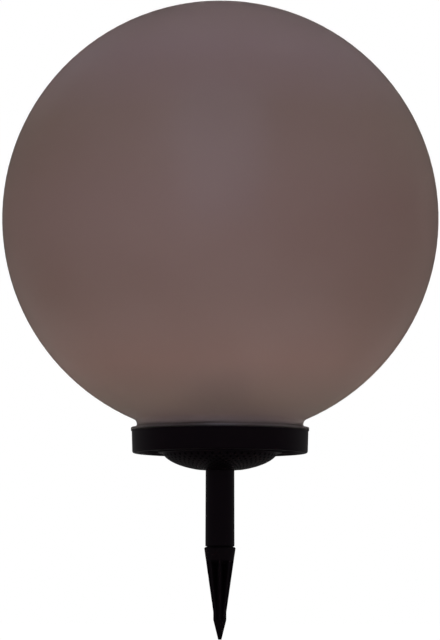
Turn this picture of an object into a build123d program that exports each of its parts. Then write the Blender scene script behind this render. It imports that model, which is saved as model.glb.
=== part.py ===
from build123d import *
from math import asin, cos, degrees, radians, sin, sqrt
import os

# A garden globe light: a smoked globe on a shallow lamp base, carried by a pole with a
# ground spike. Sizes are in millimetres and +Z is up. The origin is on the stake's axis at
# ground level, where the blades of the spike begin, and the photographed side faces -Y.

# ---------------------------------------------------------------- driving dimensions

# Gaps between pieces
slide_gap = 0.3  # round pieces that slide or turn on each other
seat_gap = 0.2  # pieces fixed side by side
pilot_gap = 0.05  # a screw's shank in its hole
sliding_fit = 0.05  # the button in its wiper ring

# Ground spike
collar_height = 10.1  # ground level to the widest edge
collar_radius = 14.3
collar_chamfer = 1.1
blade_length = 48.0
blade_end_radius = 5.95  # where the blades turn straight
blade_count = 8
blade_thickness = 2.4
flute_corner = 0.8
flute_roof_drop = 9.0  # how far the top of each flute falls towards the core
flute_runout = 7.0  # the stretch over which each flute runs out at its foot
straight_length = 6.9
point_length = 17.9
tip_radius = 1.5
plug_length = 32.0
plug_web = 3.2
plug_band = 4.0  # round band at each end of the plug
plug_chamfer = 1.0

# Pole
shadow_gap = 0.6  # narrow step between collar and pole
pole_step = 1.2  # how far that step lies inside the pole's foot
pole_length = 68.5  # the stretch that shows
pole_foot_radius = 13.3
pole_head_radius = 13.1
pole_wall = 2.3
pole_edge = 0.4
key_width = 3.0
key_depth = 0.9
notch_width = 4.0
notch_depth = 5.0

# Stake adapter
socket_depth = 25.0
socket_roof = 2.0
socket_wall = 3.1
dome_radius = 53.3
dome_depth = 20.1
dome_wall = 2.6
spigot_inset = 7.2  # the dome's rim to the adapter's spigot
spigot_height = 6.0
spigot_wall = 2.4
rib_count = 6
rib_thickness = 2.0
rib_top_drop = 3.4  # ribs end this far below the spigot's top
adapter_seal_width = 2.0
adapter_seal_depth = 1.0

# Twist lock between the adapter and the base
base_lug_count = 3
base_lug_angle = 40.0
base_lug_reach = 2.2
adapter_lug_angle = 36.0
adapter_lug_height = 2.2
twist_margin = 4.0  # how far the lugs turn past each other, in degrees

# Lamp base
base_height = 20.3  # with the lips
base_shoulder = 4.55  # outside of the globe's neck to the edge of the base
base_draft = 0.6  # the base is this much smaller at its foot
base_edge = 1.8
base_wall = 2.6
base_floor = 2.2
lip_depth = 3.8  # lips below the base's floor
outer_lip = 3.5
inner_lip = 2.8
lip_edge = 0.6
well_wall = 2.2
well_roof = 3.2
deck_ledge = 2.2  # shelf inside the base that carries the deck

# Deck, turret and light ring
deck_thickness = 2.4
deck_seal_height = 0.8
turret_radius = 59.0
turret_height = 21.0
turret_wall = 2.4
turret_edge = 1.2
channel_depth = 7.6
channel_floor = 2.2
lens_seat = 1.6  # ledge that the lens rests on
lens_rim = 2.0  # turret's edge outside the lens
lens_width = 16.8
lens_thickness = 2.0
lens_crown = 0.9
board_thickness = 1.6
led_count = 12
led_length = 3.5
led_width = 2.8
led_height = 1.9
led_eye_radius = 1.12
led_eye_depth = 0.38
light_screw_count = 3
wire_hole_radius = 5.0
wire_way_radius = 2.0

# Globe
globe_radius = 200.0
globe_wall = 2.5
neck_radius = 76.15
neck_height = 9.67  # from the base up to where the plain neck would meet the globe
neck_fillet = 5.0
flange_thickness = 3.0
flange_overhang = 0.7
flange_fillet = 3.0
flange_edge = 0.4
globe_lug_count = 3
globe_lug_angle = 20.0
globe_lug_reach = 2.2
globe_lug_height = 2.0
globe_lug_lift = 0.6  # above the flange's underside
globe_twist = 24.0
track_play = 0.9  # room for a lug at each end of its track
spigot_rise = 4.5  # deck spigot above the deck
spigot_edge = 0.6
neck_spigot_wall = 4.4
globe_seal_inset = 0.9
globe_seal_width = 2.2
globe_seal_depth = 1.4

# Solar tower
tower_side = 57.0
tower_height = 27.0
tower_corner = 9.0
tower_draft = 1.5
tower_wall = 2.2
tower_edge = 1.0
tower_screw_inset = 9.7
cell_side = 50.0
cell_thickness = 1.2
window_margin = 0.7  # the window beyond the cell
window_thickness = 2.0
window_edge = 0.5

# Batteries
cell_radius = 7.1
cell_edge = 0.6
battery_length = 49.4
button_radius = 2.7
button_length = 1.1
battery_pitch = 15.2
spring_space = 4.4
contact_thickness = 0.5
contact_margin = 1.5  # a contact beyond what it touches
contact_corner = 1.0
holder_wall = 1.5
spring_wire = 0.7
spring_radius = 3.4
spring_turns = 3
spring_taper = 12.0
door_thickness = 1.6
door_round = 0.4
door_margin = 3.0  # the door beyond the battery box at its sides
door_edge = 1.6  # the door beyond the heads of its screws
door_corner = 5.0
door_seal = 0.6

# Boards, button and switch
control_length = 44.0
control_width = 21.0
control_gap = 2.0  # battery holder to control board
board_corner = 1.0
controller = (8.0, 6.0, 1.6)  # length, width and height of the chip
controller_x = -8.0
coil_core = (3.6, 3.2)  # radius and height
coil_place = (3.0, 2.0)
capacitor = (2.6, 5.5)
capacitor_place = (11.0, -3.0)
connector = (11.0, 4.4, 4.6)
connector_inset = 3.0
standoff_height = 3.0
standoff_radius = 2.5
press_travel = 1.0
press_radius = 4.8
press_proud = 1.2  # the button below the base's floor
press_flange = 1.4
press_flange_thickness = 1.2
press_stem_radius = 1.6
stem_entry = 1.5  # the stem's end inside the switch
press_edge = 0.6
wiper_width = 2.4
wiper_height = 1.0
guide_wall = 1.8
switch_height = 4.3
switch_side = 9.0
switch_board_length = 27.0
switch_board_width = 14.0
switch_board_gap = 1.5  # the board to the wall of the base
post_radius = 2.5

# Screws: head radius, head height, shank radius, length under the head
deck_screw = (2.8, 1.9, 1.5, 9.0)
small_screw = (2.3, 1.5, 1.2, 6.5)
tiny_screw = (1.8, 1.2, 0.9, 3.4)
boss_wall = 2.0
boss_cap = 1.0  # closed end of a blind boss
deck_screw_count = 4
deck_screw_angle = 45.0

# ---------------------------------------------------------------- levels and radii

# Stake
shoulder_top_z = collar_height + collar_chamfer
pole_foot_z = shoulder_top_z + shadow_gap
dome_bottom_z = pole_foot_z + pole_length
pole_top_z = dome_bottom_z + socket_depth
pole_bore = pole_foot_radius - pole_wall
plug_radius = pole_bore - slide_gap
straight_z = -blade_length - straight_length
tip_z = straight_z - point_length

# Adapter
socket_radius = pole_head_radius + slide_gap
boss_radius = socket_radius + socket_wall
boss_top_z = pole_top_z + socket_roof
floor_z = dome_bottom_z + dome_depth
adapter_spigot_radius = dome_radius - spigot_inset
spigot_top_z = floor_z + spigot_height

# Base
base_bottom_z = floor_z - lip_depth
base_top_z = base_bottom_z + base_height
base_radius = neck_radius + base_shoulder
base_foot_radius = base_radius - base_draft
floor_top_z = floor_z + base_floor
well_radius = adapter_spigot_radius + base_lug_reach + slide_gap
well_roof_z = max(boss_top_z, spigot_top_z) + seat_gap + small_screw[1]
well_top_z = well_roof_z + well_roof
inner_lip_radius = dome_radius + slide_gap
shelf_radius = base_radius - base_wall - deck_ledge
deck_bottom_z = base_top_z - deck_thickness
shelf_z = deck_bottom_z - deck_seal_height
deck_radius = base_radius - base_wall - seat_gap
ring_radius = (inner_lip_radius + inner_lip + base_foot_radius - outer_lip) / 2

# Deck and light ring
turret_top_z = base_top_z + turret_height
lens_outer_radius = turret_radius - lens_rim
lens_inner_radius = lens_outer_radius - lens_width
channel_outer = lens_outer_radius - lens_seat
channel_inner = lens_inner_radius + lens_seat
channel_z = turret_top_z - channel_depth
light_radius = (lens_outer_radius + lens_inner_radius) / 2
light_screw_angle = 180 / led_count  # between two light chips
tower_screw_pitch = tower_side - 2 * tower_screw_inset
turret_inner = turret_radius - turret_wall
hub_radius = channel_inner - turret_wall
neck_bore = neck_radius - globe_wall
spigot_radius = neck_bore - slide_gap
spigot_inner = spigot_radius - neck_spigot_wall

# Globe
neck_join_z = base_top_z + neck_height
globe_z = neck_join_z + sqrt(globe_radius**2 - neck_radius**2)
flange_radius = base_radius + flange_overhang
inner_globe_radius = globe_radius - globe_wall


def ring(inner, outer, low, high):
    """A plain ring round the stake's axis, between two radii and two heights."""
    with BuildPart() as plain_ring:
        with BuildSketch(Plane.XY.offset(low)):
            Circle(outer)
            Circle(inner, mode=Mode.SUBTRACT)
        extrude(amount=high - low)
    return plain_ring.part


def sector(inner, outer, low, high, start, size):
    """A block bent round the axis: part of a ring, from one angle over another."""
    with BuildPart() as bent_block:
        with BuildSketch(Plane.XZ):
            with Locations(((inner + outer) / 2, (low + high) / 2)):
                Rectangle(outer - inner, high - low)
        revolve(axis=Axis.Z, revolution_arc=size)
    return bent_block.part.rotate(Axis.Z, start)


def screw(sizes, head_down):
    """A pan-head screw with the underside of its head at the origin."""
    head_radius, head_height, shank_radius, length = sizes
    with BuildPart() as one_screw:
        with BuildSketch():
            Circle(head_radius)
        extrude(amount=head_height)
        fillet(one_screw.edges().sort_by(Axis.Z)[-1], head_height * 0.45)
        with BuildSketch(Plane.XY.offset(head_height)):
            Rectangle(head_radius * 1.1, head_radius * 0.3)
            Rectangle(head_radius * 0.3, head_radius * 1.1)
        extrude(amount=-head_height * 0.55, mode=Mode.SUBTRACT)
        with BuildSketch():
            Circle(shank_radius)
        extrude(amount=-length)
        chamfer(one_screw.edges().sort_by(Axis.Z)[0], shank_radius * 0.4)
    return one_screw.part.rotate(Axis.X, 180) if head_down else one_screw.part


def save(piece, name):
    """Names a finished piece and writes it to its own file."""
    piece.label = name
    export_step(piece, f"parts/{name}.step")


os.makedirs("parts", exist_ok=True)

# ---------------------------------------------------------------- ground spike

# One hollow between two blades: a wedge whose walls stay parallel to the blades
wedge_reach = collar_radius * 2
wedge_angle = 180 / blade_count
with BuildPart() as flute:
    with BuildSketch(Plane.XY.offset(straight_z)) as flute_plan:
        apex = blade_thickness / 2 / sin(radians(wedge_angle))
        with BuildLine():
            Polyline(
                (apex, 0),
                (apex + wedge_reach * cos(radians(wedge_angle)), wedge_reach * sin(radians(wedge_angle))),
                (apex + wedge_reach * cos(radians(wedge_angle)), -wedge_reach * sin(radians(wedge_angle))),
                close=True,
            )
        make_face()
        fillet(flute_plan.vertices().sort_by(Axis.X)[0], flute_corner)
    extrude(amount=-straight_z)
    with BuildSketch(Plane.XZ) as flute_side:
        with BuildLine():
            roof = Line((collar_radius, 0), (0, -flute_roof_drop))
            Line(roof @ 1, (0, straight_z))
            Line((0, straight_z), (0, straight_z + flute_runout))
            floor_line = Line((0, straight_z + flute_runout), (blade_end_radius, straight_z))
            Line(floor_line @ 1, (collar_radius, straight_z))
            Line((collar_radius, straight_z), roof @ 0)
        make_face()
    revolve(axis=Axis.Z, mode=Mode.INTERSECT)

with BuildPart() as ground_spike:
    with BuildSketch(Plane.XZ):
        with BuildLine():
            Polyline(
                (0, tip_z),
                (tip_radius, tip_z),
                (blade_end_radius, straight_z),
                (blade_end_radius, -blade_length),
                (collar_radius, collar_height),
                (collar_radius - collar_chamfer, shoulder_top_z),
                (pole_foot_radius - pole_step, shoulder_top_z),
                (pole_foot_radius - pole_step, pole_foot_z),
                (plug_radius, pole_foot_z),
                (plug_radius, pole_foot_z + plug_length - plug_chamfer),
                (plug_radius - plug_chamfer, pole_foot_z + plug_length),
                (0, pole_foot_z + plug_length),
                close=True,
            )
        make_face()
    revolve(axis=Axis.Z)
    with PolarLocations(0, blade_count, start_angle=wedge_angle):
        add(flute.part, mode=Mode.SUBTRACT)
    # the plug is cored out to a cross between its two bands
    with BuildSketch(Plane.XY.offset(pole_foot_z + plug_band)) as plug_core:
        Circle(plug_radius)
        Rectangle(plug_radius * 2, plug_web, mode=Mode.SUBTRACT)
        Rectangle(plug_web, plug_radius * 2, mode=Mode.SUBTRACT)
    extrude(amount=plug_length - 2 * plug_band, mode=Mode.SUBTRACT)
    # key that stops the pole from turning
    with BuildSketch(Plane.XY.offset(pole_foot_z)):
        with Locations((plug_radius, 0)):
            Rectangle(2 * key_depth, key_width)
    extrude(amount=plug_length - 2 * plug_chamfer)
save(ground_spike.part, "ground_spike")

# ---------------------------------------------------------------- pole

with BuildPart() as stake_pole:
    with BuildSketch(Plane.XZ):
        with BuildLine():
            Polyline(
                (pole_bore, pole_foot_z),
                (pole_foot_radius - pole_edge, pole_foot_z),
                (pole_foot_radius, pole_foot_z + pole_edge),
                (pole_head_radius, dome_bottom_z),
                (pole_head_radius, pole_top_z - pole_edge),
                (pole_head_radius - pole_edge, pole_top_z),
                (pole_bore, pole_top_z),
                close=True,
            )
        make_face()
    revolve(axis=Axis.Z)
    # keyway for the plug's key, open at the foot
    with BuildSketch(Plane.XY.offset(pole_foot_z)):
        with Locations((plug_radius, 0)):
            Rectangle(2 * (key_depth + slide_gap), key_width + 2 * slide_gap)
    extrude(amount=plug_length, mode=Mode.SUBTRACT)
    # two notches at the top take the key bar of the adapter's socket
    with BuildSketch(Plane.XY.offset(pole_top_z)):
        Rectangle(pole_foot_radius * 2, notch_width)
    extrude(amount=-notch_depth, mode=Mode.SUBTRACT)
save(stake_pole.part, "stake_pole")

# ---------------------------------------------------------------- stake adapter

dome_centre = (0, floor_z)
spigot_bore = adapter_spigot_radius - spigot_wall
inner_dome_radius = dome_radius - dome_wall
inner_dome_depth = dome_depth - dome_wall
rib_top_z = spigot_top_z - rib_top_drop


def dome_angle(radius, at):
    """The parameter angle, in degrees, at which an ellipse of this radius passes 'at'."""
    return degrees(asin(sqrt(1 - (at / radius) ** 2)))


with BuildPart() as rib:
    with BuildSketch(Plane.XZ):
        with BuildLine():
            middle_radius = dome_radius - dome_wall / 2
            middle_depth = dome_depth - dome_wall / 2
            from_angle = dome_angle(middle_radius, spigot_bore + spigot_wall / 2)
            to_angle = dome_angle(middle_radius, boss_radius - socket_wall / 2)
            under = EllipticalCenterArc(
                dome_centre, middle_radius, middle_depth, -from_angle, arc_size=from_angle - to_angle
            )
            Line(under @ 1, ((under @ 1).X, rib_top_z))
            Line(((under @ 1).X, rib_top_z), ((under @ 0).X, rib_top_z))
            Line(((under @ 0).X, rib_top_z), under @ 0)
        make_face()
    extrude(amount=rib_thickness / 2, both=True)

adapter_lug = sector(
    adapter_spigot_radius - spigot_wall / 2,
    well_radius - slide_gap,
    floor_top_z + seat_gap,
    floor_top_z + seat_gap + adapter_lug_height,
    -adapter_lug_angle / 2,
    adapter_lug_angle,
)

with BuildPart() as stake_adapter:
    with BuildSketch(Plane.XZ):
        with BuildLine():
            skin_start = dome_angle(dome_radius, socket_radius)
            skin = EllipticalCenterArc(
                dome_centre, dome_radius, dome_depth, -skin_start, arc_size=skin_start
            )
            inner_start = dome_angle(inner_dome_radius, spigot_bore)
            inner_end = dome_angle(inner_dome_radius, boss_radius)
            inner_skin = EllipticalCenterArc(
                dome_centre, inner_dome_radius, inner_dome_depth, -inner_start,
                arc_size=inner_start - inner_end,
            )
            Polyline(
                skin @ 1,
                (adapter_spigot_radius, floor_z),
                (adapter_spigot_radius, spigot_top_z),
                (spigot_bore, spigot_top_z),
                inner_skin @ 0,
            )
            Polyline(
                inner_skin @ 1,
                (boss_radius, boss_top_z),
                (0, boss_top_z),
                (0, pole_top_z),
                (socket_radius, pole_top_z),
                skin @ 0,
            )
        make_face()
    revolve(axis=Axis.Z)
    with PolarLocations(0, rib_count, start_angle=180 / rib_count):
        add(rib.part)
    with PolarLocations(0, base_lug_count, start_angle=90):
        add(adapter_lug)
    # key bar across the socket's roof
    with BuildSketch(Plane.XY.offset(pole_top_z)):
        Rectangle(2 * socket_radius + socket_wall, notch_width - 2 * slide_gap)
    extrude(amount=-(notch_depth - slide_gap))
    # groove for the seal in the top of the rim
    seal_radius = (dome_radius + adapter_spigot_radius) / 2
    with BuildSketch(Plane.XY.offset(floor_z)):
        Circle(seal_radius + adapter_seal_width / 2)
        Circle(seal_radius - adapter_seal_width / 2, mode=Mode.SUBTRACT)
    extrude(amount=-adapter_seal_depth, mode=Mode.SUBTRACT)
save(stake_adapter.part, "stake_adapter")

adapter_seal = ring(
    seal_radius - adapter_seal_width / 2,
    seal_radius + adapter_seal_width / 2,
    floor_z - adapter_seal_depth,
    floor_z,
)
save(adapter_seal, "adapter_seal")

# ---------------------------------------------------------------- batteries and their door

box_length = battery_length + button_length + spring_space + contact_thickness
box_width = battery_pitch + 2 * cell_radius + 2 * seat_gap
door_width = box_width + 2 * door_margin
door_screw_x = box_length / 2 + holder_wall + seat_gap + small_screw[2] + boss_wall
door_length = 2 * (door_screw_x + small_screw[0] + door_edge)
door_top_z = well_roof_z + door_thickness
door_seat_z = door_top_z + door_seal
battery_z = well_top_z + cell_radius + seat_gap
holder_top_z = battery_z + cell_radius + seat_gap
battery_x = (-box_length / 2) + spring_space + battery_length / 2

with BuildPart() as battery_cells:
    with Locations(Plane.YZ.offset(battery_x - battery_length / 2)):
        with Locations((-battery_pitch / 2, battery_z), (battery_pitch / 2, battery_z)):
            Cylinder(cell_radius, battery_length, align=(Align.CENTER, Align.CENTER, Align.MIN))
    fillet(battery_cells.edges().filter_by(GeomType.CIRCLE), cell_edge)
    with Locations(Plane.YZ.offset(battery_x + battery_length / 2)):
        with Locations((-battery_pitch / 2, battery_z), (battery_pitch / 2, battery_z)):
            Cylinder(button_radius, button_length, align=(Align.CENTER, Align.CENTER, Align.MIN))
save(battery_cells.part, "battery_cells")

with BuildPart() as battery_holder:
    with BuildSketch(Plane.XY.offset(well_top_z)):
        RectangleRounded(box_length + 2 * holder_wall, box_width + 2 * holder_wall, holder_wall)
    extrude(amount=holder_top_z + holder_wall - well_top_z)
    with BuildSketch(Plane.XY.offset(well_top_z)):
        Rectangle(box_length, box_width)
    extrude(amount=holder_top_z - well_top_z, mode=Mode.SUBTRACT)
    # finger window in the roof of the box, as such holders have
    with BuildSketch(Plane.XY.offset(holder_top_z)):
        SlotOverall(box_length / 2, cell_radius)
    extrude(amount=holder_wall, mode=Mode.SUBTRACT)
save(battery_holder.part, "battery_holder")

with BuildPart() as contact_strip:
    with BuildSketch(Plane.YZ.offset(box_length / 2)):
        with Locations((0, battery_z)):
            RectangleRounded(
                box_width - 2 * contact_margin, 2 * (button_radius + contact_margin), contact_corner
            )
    extrude(amount=-contact_thickness)
save(contact_strip.part, "contact_strip")

# The coil stands a third of its wire deep in its plate and just clears the cell
coil_low = contact_thickness + spring_wire / 3
coil_height = spring_space - coil_low - spring_wire / 2 - pilot_gap
plate_side = 2 * (spring_radius + contact_margin)
with BuildPart() as contact_spring:
    with BuildSketch():
        RectangleRounded(plate_side, plate_side, contact_corner)
    extrude(amount=contact_thickness)
    with BuildLine():
        coil = Helix(
            coil_height / spring_turns, coil_height, spring_radius,
            center=(0, 0, coil_low), cone_angle=-spring_taper,
        )
    with BuildSketch(Plane(origin=coil @ 0, z_dir=coil % 0)):
        Circle(spring_wire / 2)
    sweep()

with BuildPart() as contact_springs:
    for side in (-1, 1):
        spring_place = (-box_length / 2, side * battery_pitch / 2, battery_z)
        with Locations(Plane(origin=spring_place, x_dir=(0, 1, 0), z_dir=(1, 0, 0))):
            add(contact_spring.part)
save(contact_springs.part, "contact_springs")

with BuildPart() as battery_door:
    with BuildSketch(Plane.XY.offset(well_roof_z)):
        RectangleRounded(door_length, door_width, door_corner)
    extrude(amount=door_thickness)
    fillet(battery_door.faces().sort_by(Axis.Z)[0].edges(), door_round)
    with Locations(Plane.XY.offset(well_roof_z)):
        with GridLocations(2 * door_screw_x, 0, 2, 1):
            Hole(small_screw[2] + pilot_gap)
save(battery_door.part, "battery_door")

with BuildPart() as battery_door_seal:
    with BuildSketch(Plane.XY.offset(door_top_z)):
        RectangleRounded(door_length, door_width, door_corner)
        Rectangle(box_length, box_width, mode=Mode.SUBTRACT)
        with GridLocations(2 * door_screw_x, 0, 2, 1):
            Circle(small_screw[2] + pilot_gap, mode=Mode.SUBTRACT)
    extrude(amount=door_seal)
save(battery_door_seal.part, "battery_door_seal")

door_screw_piece = screw(small_screw, head_down=True)
with BuildPart() as battery_door_screws:
    with Locations(Plane.XY.offset(well_roof_z)):
        with GridLocations(2 * door_screw_x, 0, 2, 1):
            add(door_screw_piece)
save(battery_door_screws.part, "battery_door_screws")

# ---------------------------------------------------------------- base cup

press_y = ring_radius  # the button is at the back of the base
switch_board_z = deck_bottom_z - board_thickness - seat_gap
switch_bottom_z = switch_board_z - switch_height
press_flange_top_z = switch_bottom_z - press_travel - seat_gap
guide_top_z = press_flange_top_z - press_flange_thickness
post_pitch = switch_board_length - 2 * post_radius
control_z = well_top_z + standoff_height
control_y = box_width / 2 + holder_wall + control_gap + control_width / 2
control_hole_x = control_length / 2 - standoff_radius
control_hole_y = control_width / 2 - standoff_radius
deck_screw_seat_z = floor_z + deck_screw[1] + seat_gap
deck_boss_radius = deck_screw[2] + boss_wall
deck_split_z = (deck_screw_seat_z + deck_bottom_z) / 2

base_lug = sector(
    well_radius - base_lug_reach,
    well_radius + seat_gap,
    floor_z,
    floor_top_z,
    -base_lug_angle / 2,
    base_lug_angle,
)

with BuildPart() as base_cup:
    with BuildSketch(Plane.XZ) as cup_profile:
        with BuildLine():
            Polyline(
                (well_radius, floor_z),
                (inner_lip_radius, floor_z),
                (inner_lip_radius, base_bottom_z),
                (inner_lip_radius + inner_lip, base_bottom_z),
                (inner_lip_radius + inner_lip, floor_z),
                (base_foot_radius - outer_lip, floor_z),
                (base_foot_radius - outer_lip, base_bottom_z),
                (base_foot_radius, base_bottom_z),
                (base_radius, base_top_z),
                (base_radius - base_wall, base_top_z),
                (base_radius - base_wall, shelf_z),
                (shelf_radius, shelf_z),
                (shelf_radius, floor_top_z),
                (well_radius + well_wall, floor_top_z),
                (well_radius + well_wall, well_top_z),
                (0, well_top_z),
                (0, well_roof_z),
                (well_radius, well_roof_z),
                close=True,
            )
        make_face()
        foot = cup_profile.vertices().group_by(Axis.Y)[0].sort_by(Axis.X)
        fillet(foot[-1], base_edge)
        foot = cup_profile.vertices().filter_by(lambda v: abs(v.Y - base_bottom_z) < 0.01).sort_by(Axis.X)
        fillet(foot[:3], lip_edge)
        top_rim = cup_profile.vertices().filter_by(lambda v: abs(v.Y - base_top_z) < 0.01).sort_by(Axis.X)
        fillet(top_rim[-1], lip_edge)
    revolve(axis=Axis.Z)
    with PolarLocations(0, base_lug_count, start_angle=90):
        add(base_lug)
    # opening for the battery door, from below
    with BuildSketch(Plane.XY.offset(well_roof_z)):
        RectangleRounded(
            door_length + 2 * seat_gap, door_width + 2 * seat_gap, door_corner + seat_gap
        )
    extrude(amount=door_seat_z - well_roof_z, mode=Mode.SUBTRACT)
    with BuildSketch(Plane.XY.offset(door_seat_z)):
        Rectangle(box_length, box_width)
    extrude(amount=well_top_z - door_seat_z, mode=Mode.SUBTRACT)
    # bosses and holes for the door's screws
    with BuildSketch(Plane.XY.offset(well_top_z)):
        with GridLocations(2 * door_screw_x, 0, 2, 1):
            Circle(small_screw[2] + boss_wall)
    extrude(amount=small_screw[3] - well_roof + seat_gap + boss_cap)
    with BuildSketch(Plane.XY.offset(door_seat_z)):
        with GridLocations(2 * door_screw_x, 0, 2, 1):
            Circle(small_screw[2] + pilot_gap)
    extrude(amount=small_screw[3] - door_thickness - door_seal + seat_gap, mode=Mode.SUBTRACT)
    # standoffs for the control board
    with BuildSketch(Plane.XY.offset(well_top_z)):
        with Locations((0, control_y)):
            with GridLocations(2 * control_hole_x, 2 * control_hole_y, 2, 2):
                Circle(standoff_radius)
                Circle(tiny_screw[2] + pilot_gap, mode=Mode.SUBTRACT)
    extrude(amount=standoff_height)
    # bosses for the deck's screws, with sunk heads below
    with BuildSketch(Plane.XY.offset(floor_top_z)):
        with PolarLocations(ring_radius, deck_screw_count, start_angle=deck_screw_angle):
            Circle(deck_screw[0] + boss_wall)
    extrude(amount=deck_split_z - floor_top_z)
    with BuildSketch(Plane.XY.offset(floor_z)):
        with PolarLocations(ring_radius, deck_screw_count, start_angle=deck_screw_angle):
            Circle(deck_screw[0] + seat_gap)
    extrude(amount=deck_screw_seat_z - floor_z, mode=Mode.SUBTRACT)
    with BuildSketch(Plane.XY.offset(floor_z)):
        with PolarLocations(ring_radius, deck_screw_count, start_angle=deck_screw_angle):
            Circle(deck_screw[2] + pilot_gap)
    extrude(amount=deck_split_z - floor_z, mode=Mode.SUBTRACT)
    # guide for the button, with a seat for its wiper ring
    with BuildSketch(Plane.XY.offset(floor_top_z)):
        with Locations((0, press_y)):
            Circle(press_radius + slide_gap + guide_wall)
    extrude(amount=guide_top_z - floor_top_z)
    with BuildSketch(Plane.XY.offset(floor_z)):
        with Locations((0, press_y)):
            Circle(press_radius + slide_gap)
    extrude(amount=guide_top_z - floor_z, mode=Mode.SUBTRACT)
    with BuildSketch(Plane.XY.offset(floor_z)):
        with Locations((0, press_y)):
            Circle(press_radius + wiper_width)
    extrude(amount=wiper_height, mode=Mode.SUBTRACT)
    # posts for the switch board
    with BuildSketch(Plane.XY.offset(floor_top_z)):
        with Locations((0, press_y)):
            with GridLocations(post_pitch, 0, 2, 1):
                Circle(post_radius)
    extrude(amount=switch_board_z - floor_top_z)
save(base_cup.part, "base_cup")

deck_gasket = ring(shelf_radius + seat_gap, deck_radius, shelf_z, deck_bottom_z)
save(deck_gasket, "deck_gasket")

# ---------------------------------------------------------------- base deck

seal_outer = deck_radius - globe_seal_inset
seal_inner = seal_outer - globe_seal_width
lug_low_z = base_top_z + globe_lug_lift
lug_high_z = lug_low_z + globe_lug_height
lug_radius = neck_bore - globe_lug_reach
play_angle = degrees(track_play / spigot_radius)

track = sector(
    lug_radius - slide_gap,
    neck_bore,
    lug_low_z - slide_gap,
    lug_high_z + slide_gap,
    -play_angle,
    globe_lug_angle + globe_twist + 2 * play_angle,
)
entry = sector(
    lug_radius - slide_gap,
    neck_bore,
    lug_low_z - slide_gap,
    base_top_z + spigot_rise + slide_gap,
    globe_twist - play_angle,
    globe_lug_angle + 2 * play_angle,
)

with BuildPart() as base_deck:
    with BuildSketch(Plane.XZ) as deck_profile:
        with BuildLine():
            Polyline(
                (wire_hole_radius, turret_top_z - turret_wall),
                (hub_radius, turret_top_z - turret_wall),
                (hub_radius, channel_z - channel_floor),
                (turret_inner, channel_z - channel_floor),
                (turret_inner, deck_bottom_z),
                (deck_radius, deck_bottom_z),
                (deck_radius, base_top_z),
                (seal_outer, base_top_z),
                (seal_outer, base_top_z - globe_seal_depth),
                (seal_inner, base_top_z - globe_seal_depth),
                (seal_inner, base_top_z),
                (spigot_radius, base_top_z),
                (spigot_radius, base_top_z + spigot_rise),
                (spigot_inner, base_top_z + spigot_rise),
                (spigot_inner, base_top_z),
                (turret_radius, base_top_z),
                (turret_radius, turret_top_z),
                (lens_outer_radius, turret_top_z),
                (lens_outer_radius, turret_top_z - lens_thickness),
                (channel_outer, turret_top_z - lens_thickness),
                (channel_outer, channel_z),
                (channel_inner, channel_z),
                (channel_inner, turret_top_z - lens_thickness),
                (lens_inner_radius, turret_top_z - lens_thickness),
                (lens_inner_radius, turret_top_z),
                (wire_hole_radius, turret_top_z),
                close=True,
            )
        make_face()
        crown = deck_profile.vertices().filter_by(lambda v: abs(v.Y - turret_top_z) < 0.01).sort_by(Axis.X)
        fillet(crown[-1], turret_edge)
        rims = deck_profile.vertices().filter_by(
            lambda v: abs(v.Y - base_top_z - spigot_rise) < 0.01
        )
        chamfer(rims, spigot_edge)
    revolve(axis=Axis.Z)
    with PolarLocations(0, globe_lug_count):
        add(track, mode=Mode.SUBTRACT)
        add(entry, mode=Mode.SUBTRACT)
    # bosses that meet those of the cup
    with BuildSketch(Plane.XY.offset(deck_split_z + seat_gap)):
        with PolarLocations(ring_radius, deck_screw_count, start_angle=deck_screw_angle):
            Circle(deck_boss_radius)
            Circle(deck_screw[2] + pilot_gap, mode=Mode.SUBTRACT)
    extrude(amount=deck_bottom_z - deck_split_z - seat_gap)
    with BuildSketch(Plane.XY.offset(deck_bottom_z)):
        with PolarLocations(ring_radius, deck_screw_count, start_angle=deck_screw_angle):
            Circle(deck_screw[2] + pilot_gap)
    extrude(amount=deck_thickness / 2, mode=Mode.SUBTRACT)
    # holes for the tower's screws and the light board's screws
    with BuildSketch(Plane.XY.offset(turret_top_z - turret_wall)):
        with GridLocations(tower_screw_pitch, tower_screw_pitch, 2, 2):
            Circle(small_screw[2] + pilot_gap)
    extrude(amount=turret_wall, mode=Mode.SUBTRACT)
    with BuildSketch(Plane.XY.offset(channel_z)):
        with PolarLocations(light_radius, light_screw_count, start_angle=light_screw_angle):
            Circle(tiny_screw[2] + pilot_gap)
    extrude(amount=-channel_floor, mode=Mode.SUBTRACT)
    # wire way from the channel into the turret
    with BuildSketch(Plane.XY.offset(channel_z)):
        with PolarLocations(light_radius, 1, start_angle=180 + light_screw_angle):
            Circle(wire_way_radius)
    extrude(amount=-channel_floor, mode=Mode.SUBTRACT)
save(base_deck.part, "base_deck")

globe_seal = ring(seal_inner, seal_outer, base_top_z - globe_seal_depth, base_top_z)
save(globe_seal, "globe_seal")

deck_screw_piece = screw(deck_screw, head_down=True)
with BuildPart() as deck_screws:
    with Locations(Plane.XY.offset(deck_screw_seat_z)):
        with PolarLocations(ring_radius, deck_screw_count, start_angle=deck_screw_angle):
            add(deck_screw_piece)
save(deck_screws.part, "deck_screws")

# ---------------------------------------------------------------- light ring

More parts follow.
